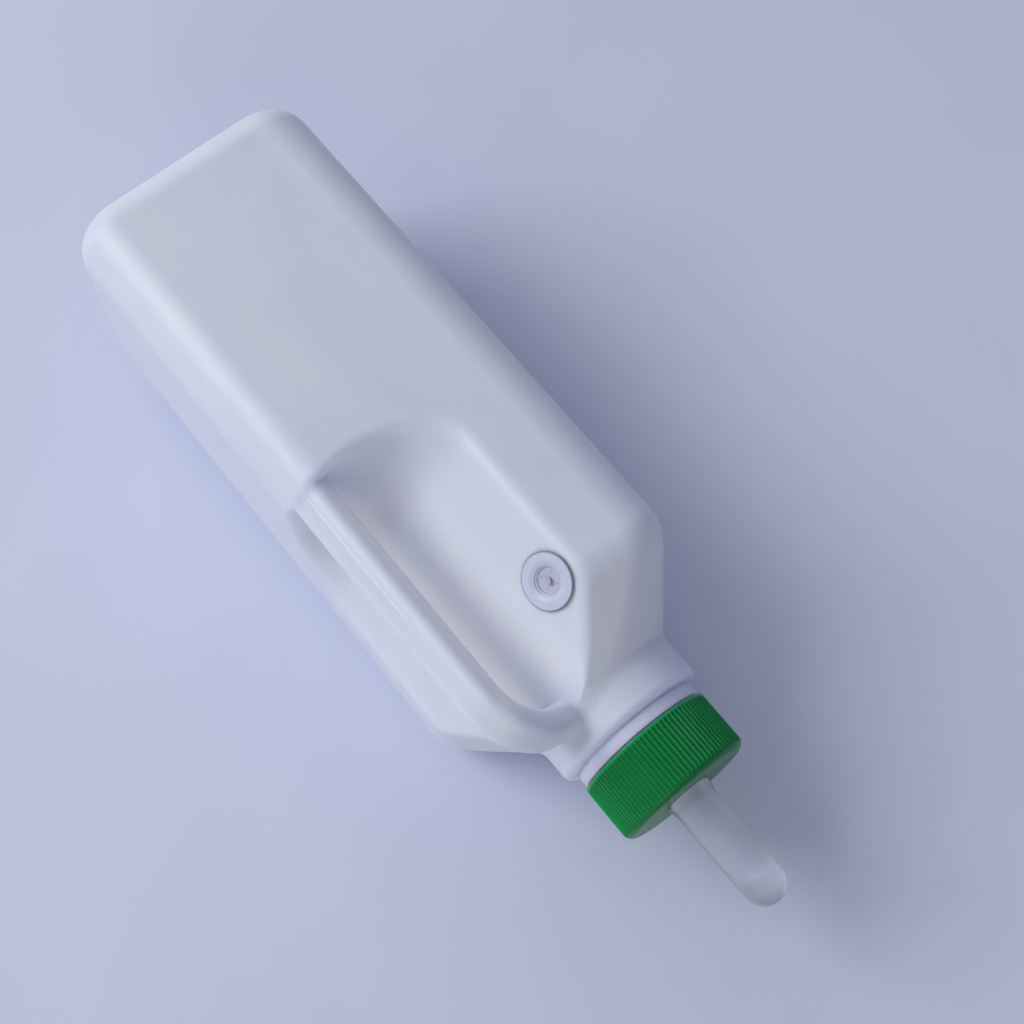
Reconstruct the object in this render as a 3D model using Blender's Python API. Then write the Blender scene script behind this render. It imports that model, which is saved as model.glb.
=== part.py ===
"""Calf feeding bottle, lying on one flat side.

A blow-moulded square body with a hollow handle on one corner, a ribbed screw cap, a push-through teat
clamped under the cap, and a one-way air valve in the sloping wall behind the handle.

Lengths are in metres. Along X, the constants count from the bottle's base towards the teat. Across X, the
bottle is symmetric about its parting plane, which runs diagonally through the handle: a diagonal distance
is counted from the body's centre line towards the handle, and a cross distance at right angles to the
parting plane.
"""
import math

import bmesh
import bpy
from mathutils import Matrix, Vector

MM = 0.001

# Body
TOTAL_LENGTH = 350.7 * MM
BODY_HALF = 51.0 * MM
CORNER_R = 18.5 * MM
WALL = 1.6 * MM
BASE_EDGE_R = 15.0 * MM
BASE_CORNER_SHARE = 0.6
BASE_PANEL_DEPTH = 2.5 * MM
BASE_RIM = 5.0 * MM

# Shoulder, collar and neck. The neck sits off the body's centre line, away from the handle.
NECK_OFFSET = 2.5 * MM
SHOULDER_X = 228.2 * MM
SHOULDER_END_X = 261.0 * MM
SHOULDER_SLOPE = 0.74
SHOULDER_ROUND = 6.0 * MM
COLLAR_FROM_X = 245.0 * MM
COLLAR_FILLET = 1.5 * MM
COLLAR_R = 30.2 * MM
COLLAR_END_X = 272.6 * MM
COLLAR_EDGE_R = 2.6 * MM
GROOVE_R = 25.0 * MM
GROOVE_X = (273.4 * MM, 274.6 * MM)
FLANGE_R = 26.0 * MM
FLANGE_X = (275.2 * MM, 278.5 * MM)
FLANGE_CHAMFER = 0.3 * MM
NECK_R = 23.7 * MM
BORE_R = 21.8 * MM
MOUTH_X = 298.0 * MM
MOUTH_CHAMFER = 0.5 * MM

# Recess behind the handle: a diagonal cut with a curved end, and a rounded ridge where it meets the sides
CUT_DEPTH = 26.9 * MM
CUT_END_X = 142.5 * MM
CUT_END_R = 24.0 * MM
RIDGE_ROUND = 3.0 * MM

# Handle
HANDLE_DIAGONAL = 57.3 * MM
HANDLE_HALF_DEPTH = 6.2 * MM
HANDLE_HALF_WIDTH = 7.7 * MM
HANDLE_START_X = 134.0 * MM
HANDLE_BEND_X = 238.5 * MM
HANDLE_BEND_R = 20.2 * MM
HANDLE_FOOT_DIAGONAL = 20.0 * MM

# Thread: one start, right-handed, in a running gap between neck and cap
THREAD_PITCH = 4.2 * MM
THREAD_HEIGHT = 1.1 * MM
THREAD_ROOT = 2.4 * MM
THREAD_CREST = 1.0 * MM
THREAD_BITE = 0.4 * MM
NECK_THREAD_X = 283.6 * MM
NECK_THREAD_TURNS = 1.75
CAP_THREAD_X = 281.5 * MM
CAP_THREAD_TURNS = 1.5

# Cap
CAP_RIM_X = 279.0 * MM
CAP_END_X = 302.55 * MM
CAP_R = 27.0 * MM
CAP_BORE_R = 25.15 * MM
CAP_PLATE = 2.05 * MM
CAP_EDGE_R = 3.6 * MM
CAP_HOLE_R = 8.7 * MM
CAP_LIP_X = 280.6 * MM
CAP_LIP_CHAMFER = 0.2 * MM
RIB_COUNT = 92
RIB_DEPTH = 0.45 * MM
RIB_X = (281.0 * MM, 298.2 * MM)

# Teat
TEAT_R = 8.25 * MM
TEAT_BORE_R = 6.05 * MM
TEAT_WAIST_R = 8.3 * MM
TEAT_INLET_R = 6.85 * MM
TEAT_BEAD_R = 9.15 * MM
TEAT_BEAD_DRAFT = 0.2 * MM
TEAT_BEAD_LENGTH = 2.2 * MM
TEAT_BEAD_TAPER = 2.0 * MM
TEAT_FLANGE_R = 24.2 * MM
TEAT_FLANGE = 1.9 * MM
TEAT_CAVITY_END_X = 340.2 * MM
TEAT_CAVITY_END_R = 3.6 * MM
TEAT_CAVITY_ROUND = (3.6 * MM, 1.2 * MM)
MILK_HOLE_R = 0.9 * MM

# Air valve, on the recess face. Its own axis starts at the outer face of the wall and points outwards.
VALVE_X = 221.3 * MM
VALVE_CROSS = 32.4 * MM
VALVE_HOLE_R = 6.6 * MM
GROMMET_FLANGE_R = 10.7 * MM
GROMMET_FLANGE = 1.2 * MM
GROMMET_CHAMFER = 0.5 * MM
GROMMET_WAIST_R = 6.3 * MM
GROMMET_LIP_R = 8.0 * MM
GROMMET_LIP = 0.8 * MM
GROMMET_LIP_TAPER = 1.4 * MM
GROMMET_SKIRT_R = 5.7 * MM
GROMMET_CUP_R = 4.7 * MM
GROMMET_CUP_STEPS = ((0.0, 5.0), (0.25, 5.5), (0.85, 5.6), (1.05, 6.1))
GROMMET_CUP_MOUTH_R = 6.25 * MM
GROMMET_FLOOR = (-2.2 * MM, -1.0 * MM)
VENT_HOLE_R = 0.5 * MM
VENT_CIRCLE_R = 3.4 * MM
VENT_COUNT = 4
VENT_TURN = 0.33
STEM_HOLE_R = 1.2 * MM
FLAP_R = 5.2 * MM
FLAP_THICKNESS = 0.8 * MM
FLAP_CHAMFER = 0.4 * MM
FLAP_STEM_R = 0.9 * MM
FLAP_BULB_R = 1.7 * MM
FLAP_BULB_TIP_R = 1.0 * MM
FLAP_BULB_X = (0.4 * MM, 0.9 * MM, 1.1 * MM)
FLAP_TRAVEL = 0.8 * MM

GAP = 0.3 * MM
CUTTER_REACH = 2 * MM

DIAGONAL = Vector((0, -1, 1)).normalized()
CROSS = Vector((0, 1, 1)).normalized()
BODY_CENTRE = Vector((-TOTAL_LENGTH / 2, 0, BODY_HALF))
NECK_CENTRE = BODY_CENTRE + Vector((0, NECK_OFFSET, -NECK_OFFSET))


# --- small helpers --------------------------------------------------------------------------------

def clear_scene():
    for old in list(bpy.data.objects):
        bpy.data.objects.remove(old, do_unlink=True)


def smooth_min(a, b, reach):
    """The smaller of two values, rounded over where they come within reach of each other."""
    blend = max(reach - abs(a - b), 0.0) / reach
    return min(a, b) - blend * blend * reach / 4


def smooth_max(a, b, reach):
    return -smooth_min(-a, -b, reach)


def material(name, colour, roughness, alpha=1.0, transmission=0.0):
    made = bpy.data.materials.new(name)
    made.use_nodes = True
    shader = made.node_tree.nodes["Principled BSDF"]
    shader.inputs["Base Color"].default_value = (*colour, 1.0)
    shader.inputs["Roughness"].default_value = roughness
    shader.inputs["Metallic"].default_value = 0.0
    shader.inputs["Alpha"].default_value = alpha
    shader.inputs["Transmission Weight"].default_value = transmission
    return made


def new_object(name, bm, made=None):
    """A mesh object from a bmesh, with its faces pointing out, smooth where it is round."""
    bmesh.ops.recalc_face_normals(bm, faces=bm.faces)
    mesh = bpy.data.meshes.new(name)
    bm.to_mesh(mesh)
    bm.free()
    mesh.shade_smooth()
    mesh.set_sharp_from_angle(angle=math.radians(35))
    obj = bpy.data.objects.new(name, mesh)
    bpy.context.scene.collection.objects.link(obj)
    if made is not None:
        mesh.materials.append(made)
    return obj


def as_cutter(obj):
    obj.hide_render = True
    obj.display_type = "WIRE"
    return obj


def boolean(target, tool, operation):
    modifier = target.modifiers.new(f"{operation.lower()} {tool.name}", "BOOLEAN")
    modifier.operation = operation
    modifier.solver = "EXACT"
    modifier.object = as_cutter(tool)


def loft(name, rings, made=None):
    """A closed solid through rings of equally many points, with a flat face on each end ring."""
    bm = bmesh.new()
    loops = [[bm.verts.new(point) for point in ring] for ring in rings]
    count = len(loops[0])
    for near, far in zip(loops, loops[1:]):
        for i in range(count):
            j = (i + 1) % count
            bm.faces.new((near[i], near[j], far[j], far[i]))
    bm.faces.new(loops[0])
    bm.faces.new(loops[-1])
    return new_object(name, bm, made)


def lathe(name, profile, segments, made=None):
    """A solid turned about X from (x, radius) points that start and end where the shape closes on itself."""
    bm = bmesh.new()
    verts = [bm.verts.new((x, radius, 0)) for x, radius in profile]
    edges = [bm.edges.new((a, b)) for a, b in zip(verts, verts[1:] + verts[:1])]
    bmesh.ops.spin(bm, geom=verts + edges, axis=(1, 0, 0), cent=(0, 0, 0), angle=math.tau, steps=segments,
                   use_merge=True)
    bmesh.ops.remove_doubles(bm, verts=bm.verts, dist=0.001 * MM)
    bmesh.ops.dissolve_degenerate(bm, edges=bm.edges, dist=0.001 * MM)
    return new_object(name, bm, made)


def arc(centre_x, centre_r, radius, start, end, steps):
    """Profile points on an arc. Angles are in degrees, from +X towards a larger radius."""
    angles = [math.radians(start + (end - start) * i / steps) for i in range(steps + 1)]
    return [(centre_x + radius * math.cos(a), centre_r + radius * math.sin(a)) for a in angles]


# --- bottle body ----------------------------------------------------------------------------------

# The most that a section's corners round, as a share of its half width.
ROUNDEST = 0.996

# A direction this close to the recess face's own never meets it inside the body.
GRAZING = 0.05


def section_angles():
    """Directions for a body section, closest together on the corners.

    The recess's ridges lie 14.3 degrees off Y and Z.
    """
    side = (-27.0, -20.0, -14.3, -7.0, 0.0, 7.0, 14.3, 20.0, 27.0)
    corner = (33.0, 39.0, 45.0, 51.0, 57.0)
    return [math.radians(quarter + turn) for quarter in (0, 90, 180, 270) for turn in side + corner]


def ray_to_square(start, direction, half, corner):
    """Distance from a point inside a square with rounded corners to its outline. Vectors lie across X."""
    hit = min((math.copysign(half, direction[k]) - start[k]) / direction[k] for k in (1, 2) if direction[k])
    corner_at = Vector((0, 0, 0))
    for k in (1, 2):
        reached = start[k] + direction[k] * hit
        if abs(reached) < half - corner:
            return hit
        corner_at[k] = math.copysign(half - corner, reached)
    return ray_to_circle(start - corner_at, direction, corner)


def ray_to_circle(start, direction, radius):
    """Distance from a point, given from a circle's centre, to the far side of the circle."""
    along = start.dot(direction)
    return -along + math.sqrt(max(along * along - start.length_squared + radius * radius, 0.0))


def recess_depth(x, inset):
    """Diagonal distance of the recess face from the body's centre line. The face ends in a curved wall."""
    centre_x = CUT_END_X + CUT_END_R
    radius = CUT_END_R + inset
    if x < centre_x - radius:
        return None
    run = max(centre_x - x, 0.0)
    return CUT_DEPTH + CUT_END_R - math.sqrt(max(radius * radius - run * run, 0.0))


def body_ring(x, half, corner, neck_radius, inset):
    """One section at x: a rounded square cut by the recess, joined with the neck's circle if there is one.

    The neck lies off the body's centre line, so the point that the section is drawn around slides across
    to it.
    """
    slide = NECK_OFFSET * min(max((x - SHOULDER_X) / (SHOULDER_END_X - SHOULDER_X), 0.0), 1.0)
    start = Vector((0, slide, -slide))
    depth = recess_depth(x, inset)
    points = []
    for angle in section_angles():
        direction = Vector((0, math.cos(angle), math.sin(angle)))
        radius = ray_to_square(start, direction, half, corner) if half > corner else 0.0
        towards_handle = direction.dot(DIAGONAL)
        if depth is not None and towards_handle > GRAZING:
            radius = smooth_min(radius, (depth - start.dot(DIAGONAL)) / towards_handle, RIDGE_ROUND)
        if neck_radius:
            to_neck = ray_to_circle(start - Vector((0, NECK_OFFSET, -NECK_OFFSET)), direction, neck_radius)
            radius = smooth_max(radius, to_neck, COLLAR_FILLET)
        points.append(BODY_CENTRE + Vector((x, 0, 0)) + start + direction * radius)
    return points


def body_rings(inset):
    """The body's sections from the base's edge to the end of the shoulder, moved inwards by the inset."""
    half = BODY_HALF - inset
    corner = CORNER_R - inset
    edge = BASE_EDGE_R - inset
    stations = []
    edge_steps = 5
    for i in range(edge_steps + 1):
        turn = math.pi / 2 * i / edge_steps
        trim = edge * (1 - math.sin(turn))
        corner_here = corner - BASE_CORNER_SHARE * trim
        stations.append((inset + edge * (1 - math.cos(turn)), half - trim, corner_here, 0.0))
    stations.append((CUT_END_X - inset - GAP, half, corner, 0.0))
    recess_steps = 6
    for i in range(recess_steps + 1):
        turn = math.pi / 2 * i / recess_steps
        stations.append((CUT_END_X + CUT_END_R - (CUT_END_R + inset) * math.cos(turn), half, corner, 0.0))
    shoulder_steps = 10
    first_x = SHOULDER_X - SHOULDER_ROUND / SHOULDER_SLOPE
    for i in range(shoulder_steps + 1):
        x = first_x + (SHOULDER_END_X - first_x) * i / shoulder_steps
        slope = half - SHOULDER_SLOPE * (x - SHOULDER_X) - inset * (math.hypot(1, SHOULDER_SLOPE) - 1)
        narrowed = smooth_min(half, slope, SHOULDER_ROUND)
        share = (half - narrowed) / (BODY_HALF - COLLAR_R)
        rounder = min(corner + (COLLAR_R - CORNER_R) * share ** 2, ROUNDEST * narrowed)
        stations.append((x, narrowed, rounder, COLLAR_R - inset if x > COLLAR_FROM_X else 0.0))
    return [body_ring(*station, inset) for station in stations]


def neck_rings(profile, inset):
    return [body_ring(x, 0.0, 0.0, radius, inset) for x, radius in profile]


def outer_form():
    """The body's outside, without its handle and thread.

    The base has a shallow panel inside its standing rim.
    """
    flat_half = BODY_HALF - BASE_EDGE_R
    flat_corner = CORNER_R - BASE_CORNER_SHARE * BASE_EDGE_R
    rings = [
        body_ring(BASE_PANEL_DEPTH, flat_half - 2 * BASE_RIM, flat_corner, 0.0, 0.0),
        body_ring(0.0, flat_half - BASE_RIM, flat_corner, 0.0, 0.0),
    ]
    rings += body_rings(0.0)
    profile = arc(COLLAR_END_X - COLLAR_EDGE_R, COLLAR_R - COLLAR_EDGE_R, COLLAR_EDGE_R, 90, 0, 3)
    profile += [
        (GROOVE_X[0], GROOVE_R),
        (GROOVE_X[1], GROOVE_R),
        (FLANGE_X[0], FLANGE_R),
        (FLANGE_X[1] - FLANGE_CHAMFER, FLANGE_R),
        (FLANGE_X[1], FLANGE_R - FLANGE_CHAMFER),
        (FLANGE_X[1], NECK_R),
        (MOUTH_X - MOUTH_CHAMFER, NECK_R),
        (MOUTH_X, NECK_R - MOUTH_CHAMFER),
    ]
    return rings + neck_rings(profile, 0.0)


def inner_form():
    """The body's inside, which runs out through the mouth."""
    flat_half = BODY_HALF - BASE_EDGE_R
    flat_corner = CORNER_R - BASE_CORNER_SHARE * BASE_EDGE_R
    rings = [body_ring(BASE_PANEL_DEPTH + WALL, flat_half - BASE_RIM - WALL, flat_corner, 0.0, WALL)]
    rings += body_rings(WALL)
    throat = [
        (COLLAR_END_X - WALL - COLLAR_EDGE_R, COLLAR_R - WALL),
        (COLLAR_END_X - WALL, COLLAR_R - WALL - COLLAR_EDGE_R),
        (COLLAR_END_X, BORE_R),
        (MOUTH_X + CUTTER_REACH, BORE_R),
    ]
    return rings + neck_rings(throat, WALL)


def handle_rings(inset):
    """Sections of the handle's tube, from inside the body, along the corner and round into the collar."""
    half_depth = HANDLE_HALF_DEPTH - inset
    half_width = HANDLE_HALF_WIDTH - inset
    path = [(HANDLE_START_X - inset, HANDLE_DIAGONAL, 90.0)]
    bend_steps = 7
    for i in range(bend_steps + 1):
        turn = 90.0 * (1 - i / bend_steps)
        x = HANDLE_BEND_X + HANDLE_BEND_R * math.cos(math.radians(turn))
        diagonal = HANDLE_DIAGONAL - HANDLE_BEND_R * (1 - math.sin(math.radians(turn)))
        path.append((x, diagonal, turn))
    path.append((HANDLE_BEND_X + HANDLE_BEND_R, HANDLE_FOOT_DIAGONAL - inset, 0.0))
    rings = []
    points = 20
    squareness = 0.8
    for x, diagonal, turn in path:
        outward = Vector((math.cos(math.radians(turn)), 0, 0)) + DIAGONAL * math.sin(math.radians(turn))
        centre = BODY_CENTRE + Vector((x, 0, 0)) + DIAGONAL * diagonal
        ring = []
        for i in range(points):
            c, s = math.cos(math.tau * i / points), math.sin(math.tau * i / points)
            depth = math.copysign(abs(c) ** squareness, c) * half_depth
            width = math.copysign(abs(s) ** squareness, s) * half_width
            ring.append(centre + outward * depth + CROSS * width)
        rings.append(ring)
    return rings


def thread_rings(x_start, turns, root_radius, height):
    """Sections of a thread ridge that fades in and out.

    A negative height points inwards, as a cap's thread does.
    """
    steps_per_turn = 28
    count = round(turns * steps_per_turn)
    fade_steps = 5
    sign = math.copysign(1, height)
    rings = []
    for i in range(count + 1):
        angle = math.tau * i / steps_per_turn
        fade = min(1.0, (i + 0.5) / fade_steps, (count - i + 0.5) / fade_steps)
        x = x_start + THREAD_PITCH * i / steps_per_turn
        outline = (
            (x - THREAD_ROOT / 2, root_radius - sign * THREAD_BITE),
            (x - THREAD_ROOT / 2, root_radius),
            (x - THREAD_CREST / 2, root_radius + height * fade),
            (x + THREAD_CREST / 2, root_radius + height * fade),
            (x + THREAD_ROOT / 2, root_radius),
            (x + THREAD_ROOT / 2, root_radius - sign * THREAD_BITE),
        )
        direction = Vector((0, math.cos(angle), math.sin(angle)))
        rings.append([NECK_CENTRE + Vector((along, 0, 0)) + direction * radius for along, radius in outline])
    return rings


def valve_matrix():
    """Places a part turned about X on the valve's axis, with +X pointing out of the bottle."""
    centre = BODY_CENTRE + Vector((VALVE_X, 0, 0)) + DIAGONAL * CUT_DEPTH + CROSS * VALVE_CROSS
    return Matrix.Translation(centre) @ DIAGONAL.to_track_quat("X", "Z").to_matrix().to_4x4()


def make_body(made):
    body = loft("bottle_body", outer_form(), made)
    boolean(body, loft("handle outside", handle_rings(0.0)), "UNION")
    thread = thread_rings(NECK_THREAD_X, NECK_THREAD_TURNS, NECK_R, THREAD_HEIGHT)
    boolean(body, loft("neck thread", thread), "UNION")
    inside = loft("inside", inner_form())
    boolean(inside, loft("handle inside", handle_rings(WALL)), "UNION")
    boolean(body, inside, "DIFFERENCE")
    hole_profile = [(-4 * WALL, 0), (-4 * WALL, VALVE_HOLE_R), (WALL, VALVE_HOLE_R), (WALL, 0)]
    hole = lathe("valve hole", hole_profile, 32)
    hole.matrix_world = valve_matrix()
    boolean(body, hole, "DIFFERENCE")
    return body


# --- cap and teat ---------------------------------------------------------------------------------

def cap_ring(x, radius, rib_depth):
    count = 2 * RIB_COUNT
    ring = []
    for i in range(count):
        angle = math.tau * i / count
        direction = Vector((0, math.cos(angle), math.sin(angle)))
        ring.append(Vector((x, 0, 0)) + direction * (radius - rib_depth * (i % 2)))
    return ring


def make_cap(made):
    """The cap turns about its object's origin, on the neck's axis."""
    edge = arc(CAP_END_X - CAP_EDGE_R, CAP_R - CAP_EDGE_R, CAP_EDGE_R, 90, 0, 3)
    rings = [
        cap_ring(CAP_RIM_X, CAP_R - CAP_LIP_CHAMFER, 0.0),
        cap_ring(CAP_LIP_X, CAP_R, 0.0),
        cap_ring(RIB_X[0], CAP_R, RIB_DEPTH),
        cap_ring(RIB_X[1], CAP_R, RIB_DEPTH),
    ]
    rings += [cap_ring(x, radius, 0.0) for x, radius in edge]
    cap = loft("screw_cap", rings, made)
    plate_x = CAP_END_X - CAP_PLATE
    bore = lathe("cap bore", [
        (CAP_RIM_X - CUTTER_REACH, 0),
        (CAP_RIM_X - CUTTER_REACH, CAP_BORE_R),
        (plate_x, CAP_BORE_R),
        (plate_x, CAP_HOLE_R),
        (CAP_END_X + CUTTER_REACH, CAP_HOLE_R),
        (CAP_END_X + CUTTER_REACH, 0),
    ], 48)
    thread = loft("cap thread", thread_rings(CAP_THREAD_X, CAP_THREAD_TURNS, CAP_BORE_R, -THREAD_HEIGHT))
    boolean(cap, bore, "DIFFERENCE")
    boolean(cap, thread, "UNION")
    for part in (cap, bore):
        part.location = NECK_CENTRE
    return cap


def make_teat(made):
    flange_x = MOUTH_X + GAP
    plate_x = CAP_END_X - CAP_PLATE
    bead_x = CAP_END_X + GAP
    milk_hole_turn = math.degrees(math.asin(MILK_HOLE_R / TEAT_R))
    profile = [
        (flange_x, TEAT_INLET_R),
        (flange_x, TEAT_FLANGE_R),
        (flange_x + TEAT_FLANGE, TEAT_FLANGE_R),
        (flange_x + TEAT_FLANGE, TEAT_BEAD_R),
        (plate_x, TEAT_WAIST_R),
        (bead_x, TEAT_WAIST_R),
        (bead_x, TEAT_BEAD_R),
        (bead_x + TEAT_BEAD_LENGTH, TEAT_BEAD_R - TEAT_BEAD_DRAFT),
        (bead_x + TEAT_BEAD_LENGTH + TEAT_BEAD_TAPER, TEAT_R),
    ]
    profile += arc(TOTAL_LENGTH - TEAT_R, 0.0, TEAT_R, 90, 2 * milk_hole_turn, 6)
    profile += [
        (TOTAL_LENGTH, MILK_HOLE_R),
        (TEAT_CAVITY_END_X, MILK_HOLE_R),
        (TEAT_CAVITY_END_X - TEAT_CAVITY_ROUND[1], TEAT_CAVITY_END_R),
        (TEAT_CAVITY_END_X - TEAT_CAVITY_ROUND[0], TEAT_BORE_R),
        (flange_x + TEAT_FLANGE, TEAT_BORE_R),
    ]
    teat = lathe("teat", profile, 36, made)
    teat.location = NECK_CENTRE
    return teat


# --- air valve ------------------------------------------------------------------------------------

def make_grommet(made):
    floor_in, floor_out = GROMMET_FLOOR
    lip_x = -WALL - GAP
    profile = [
        (floor_in, STEM_HOLE_R),
        (floor_out, STEM_HOLE_R),
        (floor_out, GROMMET_CUP_R),
        *[(x * MM, radius * MM) for x, radius in GROMMET_CUP_STEPS],
        (GAP + GROMMET_FLANGE, GROMMET_CUP_MOUTH_R),
        (GAP + GROMMET_FLANGE, GROMMET_FLANGE_R - GROMMET_CHAMFER),
        (GAP + GROMMET_FLANGE - GROMMET_CHAMFER, GROMMET_FLANGE_R),
        (GAP, GROMMET_FLANGE_R),
        (GAP, GROMMET_WAIST_R),
        (lip_x, GROMMET_WAIST_R),
        (lip_x, GROMMET_LIP_R),
        (lip_x - GROMMET_LIP, GROMMET_LIP_R),
        (lip_x - GROMMET_LIP - GROMMET_LIP_TAPER, GROMMET_WAIST_R),
        (lip_x - GROMMET_LIP - GROMMET_LIP_TAPER, GROMMET_SKIRT_R),
        (floor_in, GROMMET_SKIRT_R),
    ]
    grommet = lathe("valve_grommet", profile, 32, made)
    grommet.matrix_world = valve_matrix()
    vent_profile = [(floor_in - GAP, 0), (floor_in - GAP, VENT_HOLE_R), (floor_out + GAP, VENT_HOLE_R),
                    (floor_out + GAP, 0)]
    for i in range(VENT_COUNT):
        angle = math.tau * (i + VENT_TURN) / VENT_COUNT
        vent = lathe(f"vent hole {i + 1}", vent_profile, 12)
        offset = Vector((0, math.cos(angle), math.sin(angle))) * VENT_CIRCLE_R
        vent.matrix_world = valve_matrix() @ Matrix.Translation(offset)
        boolean(grommet, vent, "DIFFERENCE")
    return grommet


def make_flap(made):
    """An umbrella disc under the cup's floor.

    Its bulb stands far enough above the floor to let the disc lift.
    """
    floor_in, floor_out = GROMMET_FLOOR
    disc_top = floor_in - GAP
    bulb_x = floor_out + GAP + FLAP_TRAVEL
    profile = [
        (disc_top - FLAP_THICKNESS, 0),
        (disc_top - FLAP_THICKNESS, FLAP_R - FLAP_CHAMFER),
        (disc_top - FLAP_THICKNESS + FLAP_CHAMFER, FLAP_R),
        (disc_top, FLAP_R),
        (disc_top, FLAP_STEM_R),
        (bulb_x, FLAP_STEM_R),
        (bulb_x, FLAP_BULB_R),
        (bulb_x + FLAP_BULB_X[0], FLAP_BULB_R),
        (bulb_x + FLAP_BULB_X[1], FLAP_BULB_TIP_R),
        (bulb_x + FLAP_BULB_X[2], 0),
    ]
    flap = lathe("valve_flap", profile, 24, made)
    flap.matrix_world = valve_matrix()
    return flap


def main():
    clear_scene()
    make_body(material("white polyethylene", (0.80, 0.83, 0.86), 0.38))
    make_cap(material("green polypropylene", (0.01, 0.24, 0.05), 0.40))
    make_teat(material("clear silicone", (0.74, 0.79, 0.86), 0.30, alpha=0.6, transmission=0.6))
    make_grommet(material("valve silicone", (0.76, 0.80, 0.88), 0.25, alpha=0.6, transmission=0.6))
    make_flap(material("flap silicone", (0.60, 0.62, 0.72), 0.35))


main()
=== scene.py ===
"""Looks of the calf feeding bottle: fine surfaces, materials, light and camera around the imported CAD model.

The blow-moulded body is one smooth surface, found as the zero level of a distance field and then
joined to a turned neck. The cap, the teat and the air valve are turned profiles. All lengths are in
metres.

Bottle coordinates are used for shapes: x runs from the base to the teat, a runs from the body's
centre line towards the handle, along the mould's parting plane, and b runs across that plane.
"""
import math

import bmesh
import bpy
import numpy as np
from mathutils import Matrix, Vector


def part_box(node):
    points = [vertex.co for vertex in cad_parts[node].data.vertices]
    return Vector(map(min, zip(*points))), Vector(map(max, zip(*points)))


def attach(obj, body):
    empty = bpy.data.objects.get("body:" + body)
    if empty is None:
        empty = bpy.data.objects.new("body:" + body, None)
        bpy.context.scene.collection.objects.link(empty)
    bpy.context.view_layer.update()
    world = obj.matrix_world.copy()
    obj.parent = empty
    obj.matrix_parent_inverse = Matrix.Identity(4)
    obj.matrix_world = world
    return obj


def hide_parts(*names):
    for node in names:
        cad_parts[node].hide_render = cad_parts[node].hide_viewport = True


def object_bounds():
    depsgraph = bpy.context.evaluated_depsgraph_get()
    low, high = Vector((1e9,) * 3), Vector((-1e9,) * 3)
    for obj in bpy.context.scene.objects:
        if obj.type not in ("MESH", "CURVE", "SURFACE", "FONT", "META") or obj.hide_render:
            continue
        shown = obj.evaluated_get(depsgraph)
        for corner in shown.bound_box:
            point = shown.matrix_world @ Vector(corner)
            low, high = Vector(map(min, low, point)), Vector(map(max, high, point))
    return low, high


MM = 0.001

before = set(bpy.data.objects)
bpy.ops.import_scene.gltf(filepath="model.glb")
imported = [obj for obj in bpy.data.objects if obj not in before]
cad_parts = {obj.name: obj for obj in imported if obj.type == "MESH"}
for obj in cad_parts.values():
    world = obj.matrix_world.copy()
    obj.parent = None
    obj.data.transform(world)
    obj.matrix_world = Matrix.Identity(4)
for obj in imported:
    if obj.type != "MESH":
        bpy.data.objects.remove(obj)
cad_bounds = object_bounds()

# --- places and sizes that the frame gives --------------------------------------------------------

body_low, body_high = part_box("bottle_body")
cap_low, cap_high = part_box("screw_cap")
teat_low, teat_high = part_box("teat")

BODY_HALF = (body_high.y - body_low.y) / 2
BODY_CENTRE = Vector((body_low.x, (body_low.y + body_high.y) / 2, (body_low.z + body_high.z) / 2))
NECK_CENTRE = Vector((body_low.x, (cap_low.y + cap_high.y) / 2, (cap_low.z + cap_high.z) / 2))
MOUTH_X = body_high.x - body_low.x
CAP_RIM_X = cap_low.x - body_low.x
CAP_END_X = cap_high.x - body_low.x
CAP_R = (cap_high.y - cap_low.y) / 2
TEAT_END_X = teat_high.x - body_low.x
TEAT_FLANGE_X = teat_low.x - body_low.x
TEAT_FLANGE_R = (teat_high.y - teat_low.y) / 2

HANDLE_WAY = Vector((0, -1, 1)).normalized()
CROSS_WAY = Vector((0, 1, 1)).normalized()
NECK_A = (NECK_CENTRE - BODY_CENTRE).dot(HANDLE_WAY)

# --- body -----------------------------------------------------------------------------------------

WALL = 1.6 * MM
OUTER_SPACING = 1.2 * MM
INNER_SPACING = 2.6 * MM
CORNER_R = 18.5 * MM
BASE_EDGE_R = 15.0 * MM
BASE_CORNER_SHARE = 0.6
PANEL_HALF = 31.0 * MM
PANEL_CORNER_R = 9.5 * MM
PANEL_DEPTH = 2.5 * MM
PANEL_ROUND = 2.0 * MM

SHOULDER_X = 228.2 * MM
SHOULDER_SLOPE = 0.74
SHOULDER_ROUND = 4.0 * MM
SHOULDER_END_HALF = 30.2 * MM
ROUNDEST = 0.996

COLLAR_R = 30.2 * MM
COLLAR_FROM_X = 238.0 * MM
COLLAR_FILLET = 1.6 * MM
COLLAR_END_X = 272.6 * MM
COLLAR_EDGE_R = 3.2 * MM
CUT_LOOP_X = 267.6 * MM

RECESS_A = 26.9 * MM
RECESS_END_X = 142.5 * MM
RECESS_END_R = 24.0 * MM
RECESS_RIDGE = 2.4 * MM
RECESS_END_RIDGE = 4.6 * MM
RECESS_FADE_X = (244.0 * MM, 258.0 * MM)
RECESS_WALL_X = (RECESS_END_X + 6.0 * MM, RECESS_END_X + 30.0 * MM)
RECESS_EDGE = 0.3 * MM

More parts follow.
